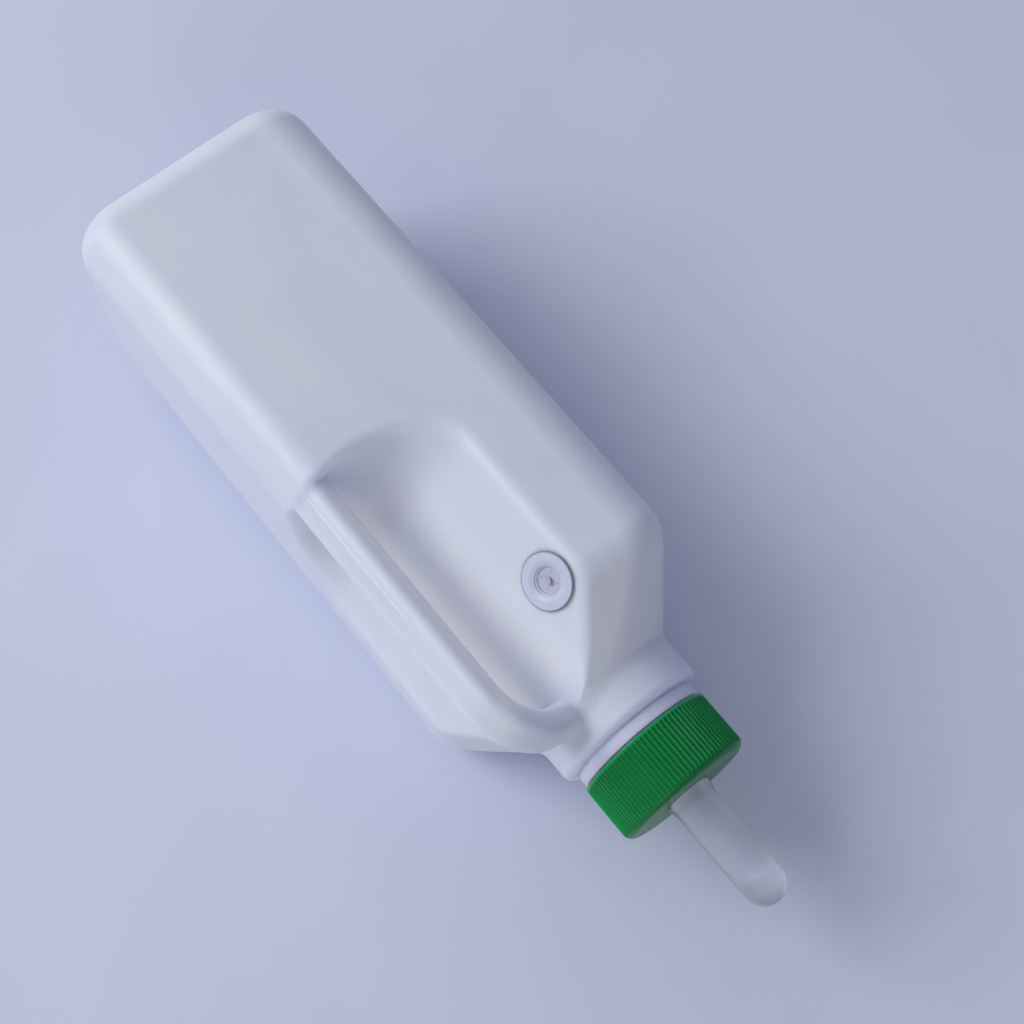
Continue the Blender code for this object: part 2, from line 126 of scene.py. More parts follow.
HANDLE_A = 57.3 * MM
HANDLE_HALF_DEPTH = 6.05 * MM
HANDLE_HALF_WIDTH = 7.5 * MM
HANDLE_SQUARENESS = 3.0
HANDLE_START_X = 134.0 * MM
HANDLE_BEND_X = 238.5 * MM
HANDLE_BEND_R = 20.2 * MM
HANDLE_FOOT_A = 20.0 * MM
HANDLE_FILLET = (1.2 * MM, 2.0 * MM)
HANDLE_FILLET_X = (200.0 * MM, 245.0 * MM)
SEAM_B = 1.9 * MM
SEAM_HEIGHT = 0.16 * MM
SEAM_WIDTH = 0.28 * MM
SEAM_X = (146.0 * MM, 211.0 * MM)
SEAM_FADE = (6.0 * MM, 14.0 * MM)

# Where light is painted onto the wall under the handle, lifting the shade there: each pair is where a fade
# starts and ends.
GRIP_B = (24.0 * MM, 9.0 * MM)
GRIP_TOP_A = (HANDLE_A + 3.0 * MM, HANDLE_A)
GRIP_BOTTOM_A = (RECESS_A - 22.0 * MM, HANDLE_A - 8.0 * MM)
GRIP_START_X = (RECESS_END_X - 6.0 * MM, RECESS_END_X + 12.0 * MM)
GRIP_END_X = (HANDLE_BEND_X + 15.0 * MM, HANDLE_BEND_X + 8.0 * MM)

# --- neck, thread, cap ----------------------------------------------------------------------------

GROOVE_R = 25.6 * MM
FLANGE_R = 26.0 * MM
FLANGE_X = (273.6 * MM, 278.5 * MM)
NECK_R = 23.7 * MM
BORE_R = 21.8 * MM
THREAD_PITCH = 4.2 * MM
THREAD_HEIGHT = 1.1 * MM
THREAD_ROOT = 2.4 * MM
THREAD_CREST = 1.0 * MM
THREAD_FADE_TURNS = 0.18

# Each thread is where it starts and its number of turns.
NECK_THREAD = (283.6 * MM, 1.75)
CAP_THREAD = (281.5 * MM, 1.5)

CAP_BORE_R = 25.15 * MM
CAP_PLATE = 2.05 * MM
CAP_EDGE_R = 3.6 * MM
CAP_HOLE_R = 8.7 * MM
RIB_COUNT = 92
RIB_DEPTH = 0.6 * MM
RIB_START_X = 280.0 * MM
RIB_RUNIN = 0.6 * MM

# --- teat and valve -------------------------------------------------------------------------------

TEAT_R = 8.25 * MM
TEAT_BORE_R = 6.05 * MM
TEAT_WAIST_R = 8.3 * MM
TEAT_BEAD_R = 9.0 * MM
TEAT_BEAD_LENGTH = 1.8 * MM
TEAT_FLANGE = 1.9 * MM
TEAT_CAVITY_END_X = 340.2 * MM
MILK_HOLE_R = 0.25 * MM

VALVE_X = 221.3 * MM
VALVE_B = 32.4 * MM
VALVE_HOLE_R = 6.6 * MM
GROMMET_FLANGE_R = 10.7 * MM
GROMMET_FLANGE = 0.9 * MM
GROMMET_WAIST_R = 6.3 * MM
GROMMET_LIP_R = 8.0 * MM
# How far into the bottle the lip's rim reaches, and its taper.
GROMMET_LIP = (0.8 * MM, 2.2 * MM)
GROMMET_SKIRT_R = 5.7 * MM
GROMMET_CUP_R = 4.7 * MM
# The cup's steps, as places and radii in millimetres.
GROMMET_CUP_STEPS = ((-0.2, 5.0), (0.0, 5.5), (0.5, 5.6), (0.7, 6.1))
GROMMET_CUP_MOUTH_R = 6.25 * MM
GROMMET_FLOOR = (-2.2 * MM, -1.0 * MM)
VENT_HOLE_R = 0.2 * MM
VENT_CIRCLE_R = 3.4 * MM
VENT_COUNT = 4
VENT_TURN = 0.33
STEM_HOLE_R = 1.05 * MM
FLAP_R = 5.2 * MM
FLAP_THICKNESS = 0.8 * MM
FLAP_STEM_R = 0.9 * MM
FLAP_BULB_R = 1.35 * MM
FLAP_BULB = 0.45 * MM
FLAP_TRAVEL = 0.8 * MM
GAP = 0.3 * MM

# --- colours, as pairs where a cloudy tint runs between two ---------------------------------------

BOTTLE_COLOURS = ((0.645, 0.70, 0.88), (0.705, 0.75, 0.915))
# Painted light: a lighter colour that lifts the shade under the handle.
GRIP_PAINTED_LIGHT_COLOUR = (0.90, 0.92, 0.99, 1)
# Painted highlight: the light caught by the raised seam on the handle.
SEAM_HIGHLIGHT_COLOUR = (0.80, 0.85, 0.96, 1)
CAP_COLOURS = ((0.0, 0.140, 0.028), (0.0, 0.162, 0.034))
# Painted highlight: a paler green on the cap's outermost surface, which covers its rib crests and plain lip.
RIB_CREST_HIGHLIGHT_COLOUR = (0.002, 0.36, 0.09, 1)
TEAT_COLOUR = (0.93, 0.945, 0.985)
VALVE_COLOUR = (0.52, 0.57, 0.70)
# Painted shade: the darker inside of the valve's cup, and the dark outline at its flange's rim.
CUP_SHADE_COLOUR = (0.50, 0.50, 0.64, 1)
VALVE_RIM_SHADE_COLOUR = (0.20, 0.22, 0.31, 1)
DISC_COLOUR = (0.47, 0.47, 0.60)
FLOOR_COLOURS = ((0.58, 0.617, 0.775), (0.61, 0.647, 0.805))

# --- camera and light -----------------------------------------------------------------------------

CAMERA_AZIMUTH = math.radians(51.21)
CAMERA_ELEVATION = math.radians(68.35)
CAMERA_DISTANCE = 616.65 * MM
CAMERA_TARGET = Vector((5.28, 20.60, 51.0)) * MM
CAMERA_LENS = 57.48

WORLD_COLOUR = (0.74, 0.765, 1.0)
WORLD_STRENGTH = 0.375
LIGHT_DISTANCE = 2.8
LIGHTS = (
    # name, azimuth, elevation, size, power, colour
    ("window", -46, 42, 1.6, 44, (0.98, 1.0, 1.0)),
    ("side", -95, 22, 1.9, 15, (1.0, 0.9, 0.65)),
    ("front", 51, 22, 1.9, 18, (1.0, 0.94, 0.65)),
)


# --- distance field of the body -------------------------------------------------------------------

def smooth_min(first, second, reach):
    """The smaller of two values, rounded off where they are within reach of each other."""
    blend = np.maximum(reach - np.abs(first - second), 0.0) / reach
    return np.minimum(first, second) - blend * blend * reach / 4


def smooth_max(first, second, reach):
    """The larger of two values, rounded off in the same way."""
    return -smooth_min(-first, -second, reach)


def ramp(value, start, end):
    """0 before start, 1 after end, and a smooth S between."""
    share = np.clip((value - start) / (end - start), 0.0, 1.0)
    return share * share * (3 - 2 * share)


def square_distance(a, b, half, corner):
    """Distance to a square with rounded corners, whose sides lie at 45 degrees to a and b."""
    across = np.abs(b - a) / math.sqrt(2) - (half - corner)
    upward = np.abs(b + a) / math.sqrt(2) - (half - corner)
    outside = np.hypot(np.maximum(across, 0.0), np.maximum(upward, 0.0))
    return outside + np.minimum(np.maximum(across, upward), 0.0) - corner


def body_block(x, a, b):
    """The square body with its rounded base edge, its shoulder and the panel in its base."""
    left = np.clip(BASE_EDGE_R - x, 0.0, BASE_EDGE_R)
    trim = BASE_EDGE_R - np.sqrt(BASE_EDGE_R ** 2 - left ** 2)
    slope = BODY_HALF - SHOULDER_SLOPE * (x - SHOULDER_X)
    half = smooth_min(BODY_HALF, slope, SHOULDER_ROUND)
    narrowing = (BODY_HALF - half) / (BODY_HALF - SHOULDER_END_HALF)
    corner = CORNER_R + (1 - BASE_CORNER_SHARE) * trim + (SHOULDER_END_HALF - CORNER_R) * narrowing ** 2
    corner = np.minimum(corner, ROUNDEST * half)
    steep = SHOULDER_SLOPE * ramp(x, SHOULDER_X - SHOULDER_ROUND, SHOULDER_X + SHOULDER_ROUND)
    side = square_distance(a, b, half, corner) / np.hypot(1.0, steep)
    over_side = side + BASE_EDGE_R
    over_base = BASE_EDGE_R - x
    edge = np.hypot(np.maximum(over_side, 0.0), np.maximum(over_base, 0.0)) - BASE_EDGE_R
    block = edge + np.minimum(np.maximum(over_side, over_base), 0.0)
    panel = np.maximum(square_distance(a, b, PANEL_HALF - 2 * x, PANEL_CORNER_R), x - PANEL_DEPTH)
    return smooth_max(block, -panel, PANEL_ROUND)


def recess(x, a):
    """Negative in the space behind the handle: over a flat face, and before a wall that curves from it."""
    centre_a = RECESS_A + RECESS_END_R
    centre_x = RECESS_END_X + RECESS_END_R
    back = np.maximum(centre_x - x, 0.0)
    down = np.where(back > 0, centre_a - a, np.maximum(centre_a - a, 0.0))
    return np.hypot(back, down) - RECESS_END_R


def handle(x, a, b):
    """A tube along the corner that bends down into the collar, with flat outer and inner faces."""
    past = np.maximum(x - HANDLE_BEND_X, 0.0)
    above = np.maximum(a - (HANDLE_A - HANDLE_BEND_R), 0.0)
    across = np.where(past > 0, np.hypot(past, above) - HANDLE_BEND_R, a - HANDLE_A)
    depth = np.abs(across / HANDLE_HALF_DEPTH) ** HANDLE_SQUARENESS
    width = np.abs(b / HANDLE_HALF_WIDTH) ** HANDLE_SQUARENESS
    tube = ((depth + width) ** (1 / HANDLE_SQUARENESS) - 1) * HANDLE_HALF_DEPTH
    seam = SEAM_HEIGHT * np.exp(-((b - SEAM_B) / SEAM_WIDTH) ** 2) * ramp(across, 0.0, HANDLE_HALF_DEPTH)
    seam = seam * (1 - ramp(x, SEAM_X[1] - SEAM_FADE[1], SEAM_X[1]))
    return np.maximum(tube - seam, np.maximum(HANDLE_START_X - x, HANDLE_FOOT_A - a))


def body_field(x, a, b):
    """About the distance to the body's outer surface: negative inside."""
    from_collar = np.hypot(a - NECK_A, b) - COLLAR_R
    collar = np.maximum(from_collar, COLLAR_FROM_X - x)
    block = smooth_min(body_block(x, a, b), collar, COLLAR_FILLET)
    fade = ramp(x, *RECESS_FADE_X)
    cut = -recess(x, a - RECESS_EDGE * fade)
    end_wall = 1 - ramp(x, *RECESS_WALL_X)
    ridge = (RECESS_RIDGE + (RECESS_END_RIDGE - RECESS_RIDGE) * end_wall) * (1 - fade) + RECESS_EDGE
    carved = smooth_max(block, cut, ridge)
    fillet = HANDLE_FILLET[0] + (HANDLE_FILLET[1] - HANDLE_FILLET[0]) * ramp(x, *HANDLE_FILLET_X)
    return smooth_min(carved, handle(x, a, b), fillet)


def gradient(field, points):
    """Central differences of a field at points."""
    step = 0.02 * MM
    slopes = []
    for axis in range(3):
        shift = np.zeros(3)
        shift[axis] = step
        ahead = field(*(points + shift).T)
        behind = field(*(points - shift).T)
        slopes.append((ahead - behind) / (2 * step))
    return np.stack(slopes, axis=1)


def onto_surface(field, points, rounds=6):
    """Moves points along the field's slope onto its zero level."""
    for _ in range(rounds):
        slope = gradient(field, points)
        size = np.maximum((slope ** 2).sum(axis=1), 0.05)
        step = (field(*points.T) / size)[:, None] * slope
        length = np.maximum(np.linalg.norm(step, axis=1, keepdims=True), 1e-12)
        points = points - step * np.minimum(1.0, 0.5 * MM / length)
    return points


def surface_net(field, xs, ys, zs):
    """Points and quads on a field's zero level, with one point in each grid cell that it passes."""
    axes = (xs, ys, zs)
    values = field(*np.meshgrid(*axes, indexing="ij"))
    inside = values < 0
    cells = tuple(len(axis) - 1 for axis in axes)
    total = np.zeros(cells + (3,))
    count = np.zeros(cells)
    crossings = []
    for axis in range(3):
        near = [slice(None)] * 3
        far = [slice(None)] * 3
        near[axis] = slice(0, -1)
        far[axis] = slice(1, None)
        near, far = tuple(near), tuple(far)
        found = np.argwhere(inside[near] != inside[far])
        index = tuple(found.T)
        start, end = values[near][index], values[far][index]
        share = start / (start - end)
        point = np.stack([axes[k][found[:, k]] for k in range(3)], axis=1)
        point[:, axis] += share * np.diff(axes[axis])[found[:, axis]]
        crossings.append((axis, found, inside[near][index]))
        others = [k for k in range(3) if k != axis]
        for back_1 in (0, 1):
            for back_2 in (0, 1):
                cell = found.copy()
                cell[:, others[0]] -= back_1
                cell[:, others[1]] -= back_2
                fits = np.all((cell >= 0) & (cell < cells), axis=1)
                target = tuple(cell[fits].T)
                np.add.at(total, target, point[fits])
                np.add.at(count, target, 1)
    used = count > 0
    number = np.full(cells, -1)
    number[used] = np.arange(used.sum())
    points = total[used] / count[used][:, None]
    quads = []
    for axis, found, leaving in crossings:
        first, second = [(1, 2), (2, 0), (0, 1)][axis]
        corners = []
        for back_1, back_2 in ((0, 0), (1, 0), (1, 1), (0, 1)):
            cell = found.copy()
            cell[:, first] -= back_1
            cell[:, second] -= back_2
            fits = np.all((cell >= 0) & (cell < cells), axis=1)
            cell = np.where(fits[:, None], cell, 0)
            corners.append(np.where(fits, number[tuple(cell.T)], -1))
        quad = np.stack(corners, axis=1)
        quad[~leaving] = quad[~leaving][:, ::-1]
        quads.append(quad[(quad >= 0).all(axis=1)])
    return points, np.concatenate(quads)


def spaced(*stops):
    """Grid values through (value, spacing) stops. Each stretch is divided about as its first stop says."""
    values = []
    for (start, spacing), (end, _) in zip(stops, stops[1:]):
        steps = max(1, round((end - start) / spacing))
        values += [start + (end - start) * i / steps for i in range(steps)]
    return np.array(values + [stops[-1][0]])


# --- meshes ---------------------------------------------------------------------------------------

def bottle_to_world(ways):
    """World directions of directions in bottle coordinates."""
    lengthwise = np.outer(ways[:, 0], (1, 0, 0))
    return lengthwise + np.outer(ways[:, 1], HANDLE_WAY) + np.outer(ways[:, 2], CROSS_WAY)


def to_world(points):
    """World places of points in bottle coordinates."""
    points = np.asarray(points, float)
    return bottle_to_world(points) + np.array(BODY_CENTRE)


def add_ring(bm, points):
    """New vertices at points."""
    return [bm.verts.new(point) for point in points]


def join_rings(bm, near, far):
    """Quads between two closed rings of equally many points. A ring of one point closes to a cap."""
    count = max(len(near), len(far))
    for i in range(count):
        j = (i + 1) % count
        corners = [near[i % len(near)], near[j % len(near)], far[j % len(far)], far[i % len(far)]]
        unique = list(dict.fromkeys(corners))
        bm.faces.new(unique)


def zip_rings(bm, near, far, near_turns, far_turns):
    """Triangles between two closed rings of unequal numbers of points, matched by their turns."""
    i = j = 0
    near_at = np.append(near_turns, near_turns[0] + math.tau)
    far_at = np.append(far_turns, far_turns[0] + math.tau)
    while i < len(near) or j < len(far):
        step_near = j >= len(far) or (i < len(near) and near_at[i + 1] <= far_at[j + 1])
        if step_near:
            bm.faces.new((near[i], near[(i + 1) % len(near)], far[j % len(far)]))
            i += 1
        else:
            bm.faces.new((near[i % len(near)], far[(j + 1) % len(far)], far[j]))
            j += 1


def filleted(corners, steps=5):
    """Profile points through (x, radius, fillet) corners, each rounded by its own fillet."""
    points = []
    for k, (x, radius, fillet) in enumerate(corners):
        here = Vector((x, radius))
        if fillet == 0:
            points.append(tuple(here))
            continue
        before = Vector(corners[k - 1][:2]) - here
        after = Vector(corners[(k + 1) % len(corners)][:2]) - here
        half_turn = before.angle(after) / 2
        before_share = 0.98 * fillet / (fillet + corners[k - 1][2])
        after_share = 0.98 * fillet / (fillet + corners[(k + 1) % len(corners)][2])
        reach = min(fillet / math.tan(half_turn), before_share * before.length, after_share * after.length)
        start = here + before.normalized() * reach
        end = here + after.normalized() * reach
        for i in range(steps + 1):
            t = i / steps
            weights = ((1 - t) ** 2, 2 * t * (1 - t) * math.sin(half_turn), t ** 2)
            points.append(tuple((start * weights[0] + here * weights[1] + end * weights[2]) / sum(weights)))
    return points


def subdivided(profile, longest):
    """The same profile with its long stretches divided."""
    points = [profile[0]]
    for start, end in zip(profile, profile[1:]):
        steps = max(1, math.ceil(math.dist(start, end) / longest))
        span = np.array(end) - np.array(start)
        points += [tuple(np.array(start) + span * i / steps) for i in range(1, steps + 1)]
    return points


def arc(centre_x, centre_r, radius, start, end, steps):
    """Profile points on a circle. Angles are in degrees from the X axis."""
    angles = [math.radians(start + (end - start) * i / steps) for i in range(steps + 1)]
    return [(centre_x + radius * math.cos(t), centre_r + radius * math.sin(t)) for t in angles]


def neck_ring(x, radii, turns):
    """World points round the neck's axis. Turns are counted from +Y towards +Z."""
    return [NECK_CENTRE + Vector((x, r * math.cos(t), r * math.sin(t))) for r, t in zip(radii, turns)]


def finish_mesh(name, bm, sharp=40.0):
    """Makes a smooth-shaded object of a bmesh, with edges kept sharp above an angle."""
    bmesh.ops.recalc_face_normals(bm, faces=bm.faces)
    mesh = bpy.data.meshes.new(name)
    bm.to_mesh(mesh)
    bm.free()
    mesh.shade_smooth()
    mesh.set_sharp_from_angle(angle=math.radians(sharp))
    piece = bpy.data.objects.new(name, mesh)
    bpy.context.scene.collection.objects.link(piece)
    return piece


def turned(name, profile, segments, closed):
    """A piece turned about its own X axis.

    A closed profile goes round a hole. An open one starts and ends at radius 0.
    """
    bm = bmesh.new()
    turns = [math.tau * i / segments for i in range(segments)]
    rings = []
    for x, radius in profile:
        around = turns if radius > 0 else [0.0]
        rings.append(add_ring(bm, [(x, radius * math.cos(t), radius * math.sin(t)) for t in around]))
    following = rings[1:] + rings[:1] if closed else rings[1:]
    for near, far in zip(rings, following):
        join_rings(bm, near, far)
    return finish_mesh(name, bm)


def thread_height(x, turn, start_x, turns):
    """Height of a thread ridge, from 0 to 1, at x and a turn about the axis."""
    height = 0.0
    for lap in range(math.ceil(turns)):
        along = (turn % math.tau) / math.tau + lap
        if along > turns:
            continue
        away = abs(x - start_x - THREAD_PITCH * along)
        ridge = float(1 - ramp(away, THREAD_CREST / 2, THREAD_ROOT / 2))
        fade = min(1.0, along / THREAD_FADE_TURNS, (turns - along) / THREAD_FADE_TURNS)
        height = max(height, ridge * fade)
    return height


def applied(piece, cutters):
    """Cuts other objects out of a piece and keeps only the result."""
    for cutter in cutters:
        modifier = piece.modifiers.new("cut", "BOOLEAN")
        modifier.operation = "DIFFERENCE"
        modifier.solver = "EXACT"
        modifier.object = cutter
    depsgraph = bpy.context.evaluated_depsgraph_get()
    mesh = bpy.data.meshes.new_from_object(piece.evaluated_get(depsgraph))
    piece.modifiers.clear()
    old = piece.data
    piece.data = mesh
    bpy.data.meshes.remove(old)
    for cutter in cutters:
        bpy.data.objects.remove(cutter)
    return piece


# --- the body's shell -----------------------------------------------------------------------------

def body_surface(bm, inset, spacing):
    """One skin of the body up to the cut loop. Returns the loop's vertices and their turns about the neck."""
    fine = spacing
    medium = 1.7 * spacing
    coarse = 3.5 * spacing
    wide = 74 * MM
    last = CUT_LOOP_X + fine / 2
    xs = spaced(
        (-2 * MM, fine),
        (20 * MM, coarse),
        (130 * MM, fine),
        (172 * MM, medium),
        (216 * MM, fine),
        (last, fine),
    )
    side = spaced((0.3 * MM, 0.6 * MM), (1.2 * MM, 0.14 * MM), (2.6 * MM, fine), (wide, fine))
    across = np.concatenate([-side[::-1], side])
    outward = spaced((-wide, fine), (68 * MM, fine))

    def field(x, a, b):
        return body_field(x, a, b) + inset

    points, quads = surface_net(field, xs, outward, across)
    points = onto_surface(field, points)
    at_end = points[:, 0] > CUT_LOOP_X - fine / 4
    points[at_end, 0] = CUT_LOOP_X
    verts = add_ring(bm, to_world(points))
    for quad in quads:
        bm.faces.new([verts[k] for k in quad])
    loop = [verts[k] for k in np.flatnonzero(at_end)]
    turns = [math.atan2(v.co.z - NECK_CENTRE.z, v.co.y - NECK_CENTRE.y) for v in loop]
    order = np.argsort(turns)
    return [loop[k] for k in order], [turns[k] for k in order]


def neck_profile():
    """From the collar's edge over the groove, flange and neck to the mouth, and back along the bore."""
    corners = [
        (CUT_LOOP_X + 0.3 * MM, COLLAR_R, 0),
        (COLLAR_END_X, COLLAR_R, COLLAR_EDGE_R),
        (COLLAR_END_X + 0.4 * MM, GROOVE_R, 0.3 * MM),
        (FLANGE_X[0], GROOVE_R, 0.3 * MM),
        (FLANGE_X[0] + 0.3 * MM, FLANGE_R, 0.7 * MM),
        (FLANGE_X[1], FLANGE_R, 0.5 * MM),
        (FLANGE_X[1] + 0.1 * MM, NECK_R, 0.6 * MM),
        (MOUTH_X, NECK_R, 0.6 * MM),
        (MOUTH_X, BORE_R, 0.5 * MM),
        (COLLAR_END_X + 0.8 * MM, BORE_R, 2 * MM),
        (COLLAR_END_X - WALL, COLLAR_R - WALL - COLLAR_EDGE_R, 1.2 * MM),
        (CUT_LOOP_X + 0.6 * MM, COLLAR_R - WALL, 0),
    ]
    return subdivided(filleted(corners), 0.45 * MM)


def make_body():
    """Both skins of the bottle, joined by the turned neck with its thread."""
    bm = bmesh.new()
    outer, outer_turns = body_surface(bm, 0.0, OUTER_SPACING)
    inner, inner_turns = body_surface(bm, WALL, INNER_SPACING)
    previous = outer
    for x, radius in neck_profile():
        on_thread = FLANGE_X[1] < x < MOUTH_X and abs(radius - NECK_R) < 0.1 * MM
        radii = [radius] * len(outer)
        if on_thread:
            radii = [radius + THREAD_HEIGHT * thread_height(x, turn, *NECK_THREAD) for turn in outer_turns]
        ring = add_ring(bm, neck_ring(x, radii, outer_turns))
        join_rings(bm, previous, ring)
        previous = ring
    zip_rings(bm, previous, inner, np.array(outer_turns), np.array(inner_turns))
    return finish_mesh("bottle_shell", bm)


def valve_matrix():
    """The valve's axis: +X points out of the bottle, and 0 is the wall's outer face."""
    centre = BODY_CENTRE + Vector((VALVE_X, 0, 0)) + HANDLE_WAY * RECESS_A + CROSS_WAY * VALVE_B
    return Matrix.Translation(centre) @ HANDLE_WAY.to_track_quat("X", "Z").to_matrix().to_4x4()


def plug(name, start, end, radius, matrix, segments=64):
    """A round cutter along its own X axis."""
    cutter = turned(name, [(start, 0), (start, radius), (end, radius), (end, 0)], segments, False)
    cutter.matrix_world = matrix
    return cutter


def exact_normals(piece):
    """Shades the body by its field's slope, except on its neck and in the valve's hole."""
    mesh = piece.data
    co = np.empty(len(mesh.vertices) * 3)
    mesh.vertices.foreach_get("co", co)
    local = co.reshape(-1, 3) - np.array(BODY_CENTRE)
    points = np.stack([local[:, 0], local @ np.array(HANDLE_WAY), local @ np.array(CROSS_WAY)], axis=1)
    slope = gradient(body_field, points)
    slope /= np.linalg.norm(slope, axis=1, keepdims=True)
    off_surface = np.abs(body_field(*points.T)) > 0.05 * MM
    from_valve = np.hypot(points[:, 0] - VALVE_X, points[:, 2] - VALVE_B)
    in_hole = (from_valve < VALVE_HOLE_R + 1.5 * MM) & (points[:, 1] > 0)
    keep_default = off_surface | in_hole | (points[:, 0] > CUT_LOOP_X - 0.1 * MM)
    world = bottle_to_world(slope)
    world[keep_default] = 0
    mesh.normals_split_custom_set_from_vertices(world.tolist())


# --- cap, teat and valve --------------------------------------------------------------------------

def make_cap():
    """The ribbed cap, with a plain lip at its rim, a rounded end and a thread inside."""
    rib_shape = ((0.0, 0.0), (0.3, 0.08), (0.41, 0.8), (0.5, 1.0), (0.59, 0.8), (0.7, 0.08))
    turns = [math.tau * (rib + place) / RIB_COUNT for rib in range(RIB_COUNT) for place, _ in rib_shape]
    heights = [height for _ in range(RIB_COUNT) for _, height in rib_shape]
    plate_x = CAP_END_X - CAP_PLATE
    outside = filleted([
        (CAP_RIM_X, CAP_BORE_R + 0.2 * MM, 0.2 * MM),
        (CAP_RIM_X, CAP_R, 0.3 * MM),
        (CAP_END_X, CAP_R, 0),
    ])[:-1]
    outside += arc(CAP_END_X - CAP_EDGE_R, CAP_R - CAP_EDGE_R, CAP_EDGE_R, 90, 0, 18)
    outside += filleted([
        (CAP_END_X, CAP_HOLE_R + 3 * MM, 0),
        (CAP_END_X, CAP_HOLE_R, 0.4 * MM),
        (plate_x, CAP_HOLE_R, 0.3 * MM),
        (plate_x, CAP_BORE_R, 1.0 * MM),
        (CAP_RIM_X + 0.2 * MM, CAP_BORE_R, 0),
    ])
    profile = subdivided(outside, 0.5 * MM)
    bm = bmesh.new()
    rings = []
    for x, radius in profile:
        depth = RIB_DEPTH * float(ramp(x, RIB_START_X, RIB_START_X + RIB_RUNIN))
        if radius > CAP_R - 1.2 * MM:
            radii = [min(radius, CAP_R - depth * (1 - height)) for height in heights]
        elif abs(radius - CAP_BORE_R) < 0.1 * MM:
            radii = [radius - THREAD_HEIGHT * thread_height(x, turn, *CAP_THREAD) for turn in turns]
        else:
            radii = [radius] * len(turns)
        rings.append(add_ring(bm, neck_ring(x, radii, turns)))
    for near, far in zip(rings, rings[1:] + rings[:1]):
        join_rings(bm, near, far)
    return finish_mesh("cap_shell", bm, 60.0)


def make_teat():
    """A silicone tube with a domed tip, clamped by a wide flange and held in the cap's hole by a bead."""
    plate_x = CAP_END_X - CAP_PLATE
    bead_x = CAP_END_X + GAP
    flange_end = TEAT_FLANGE_X + TEAT_FLANGE
    corners = [
        (TEAT_FLANGE_X, TEAT_BORE_R + 0.8 * MM, 0.4 * MM),
        (TEAT_FLANGE_X, TEAT_FLANGE_R, 0.5 * MM),
        (flange_end, TEAT_FLANGE_R, 0.5 * MM),
        (flange_end, TEAT_WAIST_R, 0.4 * MM),
        (bead_x, TEAT_WAIST_R, 0.2 * MM),
        (bead_x, TEAT_BEAD_R, 0.5 * MM),
        (bead_x + TEAT_BEAD_LENGTH, TEAT_BEAD_R, 1.5 * MM),
        (bead_x + TEAT_BEAD_LENGTH + 2.6 * MM, TEAT_R, 3.0 * MM),
        (TEAT_END_X - TEAT_R, TEAT_R, 0),
    ]
    hole_turn = math.degrees(math.asin(MILK_HOLE_R / TEAT_R))
    profile = filleted(corners)
    profile += arc(TEAT_END_X - TEAT_R, 0.0, TEAT_R, 85, hole_turn + 2, 14)
    profile += [(TEAT_END_X, MILK_HOLE_R), (TEAT_CAVITY_END_X, MILK_HOLE_R)]
    cavity_round = 4.5 * MM
    profile += arc(TEAT_CAVITY_END_X - cavity_round, TEAT_BORE_R - cavity_round, cavity_round, 10, 90, 8)
    profile.append((flange_end, TEAT_BORE_R))
    teat = turned("teat_skin", profile, 96, True)
    teat.location = NECK_CENTRE
    return teat


def make_grommet():
    """The air valve's plug: a flange, a waist in the wall, an inner lip and a cup with a vented floor."""
    floor_in, floor_out = GROMMET_FLOOR
    lip_x = -WALL - GAP
    corners = [
        (floor_in, STEM_HOLE_R, 0),
        (floor_out, STEM_HOLE_R, 0),
        (floor_out, GROMMET_CUP_R, 0.5 * MM),
        *[(x * MM, radius * MM, 0.15 * MM) for x, radius in GROMMET_CUP_STEPS],
        (GAP + GROMMET_FLANGE, GROMMET_CUP_MOUTH_R + 0.9 * MM, 1.2 * MM),
        (GAP + GROMMET_FLANGE, GROMMET_FLANGE_R, 0.55 * MM),
        (GAP, GROMMET_FLANGE_R, 0.35 * MM),
        (GAP, GROMMET_WAIST_R, 0.3 * MM),
        (lip_x, GROMMET_WAIST_R, 0.3 * MM),
        (lip_x, GROMMET_LIP_R, 0.3 * MM),
        (lip_x - GROMMET_LIP[0], GROMMET_LIP_R, 0.4 * MM),
        (lip_x - GROMMET_LIP[1], GROMMET_WAIST_R, 0.2 * MM),
        (lip_x - GROMMET_LIP[1], GROMMET_SKIRT_R, 0.2 * MM),
        (floor_in, GROMMET_SKIRT_R, 0.3 * MM),
    ]
    grommet = turned("valve_plug", filleted(corners), 96, True)
    cutters = []
    for i in range(VENT_COUNT):
        turn = math.tau * (i + VENT_TURN) / VENT_COUNT
        offset = Vector((0, VENT_CIRCLE_R * math.cos(turn), VENT_CIRCLE_R * math.sin(turn)))
        place = Matrix.Translation(offset)
        cutters.append(plug(f"vent_{i + 1}", floor_in - GAP, floor_out + GAP, VENT_HOLE_R, place, 24))
    applied(grommet, cutters)
    grommet.matrix_world = valve_matrix()
    return grommet


def make_flap():
    """The umbrella disc under the cup's floor, on a stem with a bulb."""
    floor_in, floor_out = GROMMET_FLOOR
    disc_top = floor_in - GAP
    bulb_x = floor_out + GAP + FLAP_TRAVEL
    profile = filleted([
        (disc_top - FLAP_THICKNESS, 0, 0),
        (disc_top - FLAP_THICKNESS, FLAP_R, 0.5 * MM),
        (disc_top, FLAP_R, 0.25 * MM),
        (disc_top, FLAP_STEM_R, 0.3 * MM),
        (bulb_x, FLAP_STEM_R, 0),
        (bulb_x, FLAP_BULB_R, 0.2 * MM),
        (bulb_x + FLAP_BULB, FLAP_BULB_R, 0.5 * MM),
        (bulb_x + FLAP_BULB, 0, 0),
    ])
    flap = turned("valve_disc", profile, 64, False)
    flap.matrix_world = valve_matrix()
    return flap


# --- materials ------------------------------------------------------------------------------------

def new_material(name):
    """A new material with its node tree and its Principled shader."""
    made = bpy.data.materials.new(name)
    made.use_nodes = True
    tree = made.node_tree
    return made, tree, tree.nodes["Principled BSDF"]


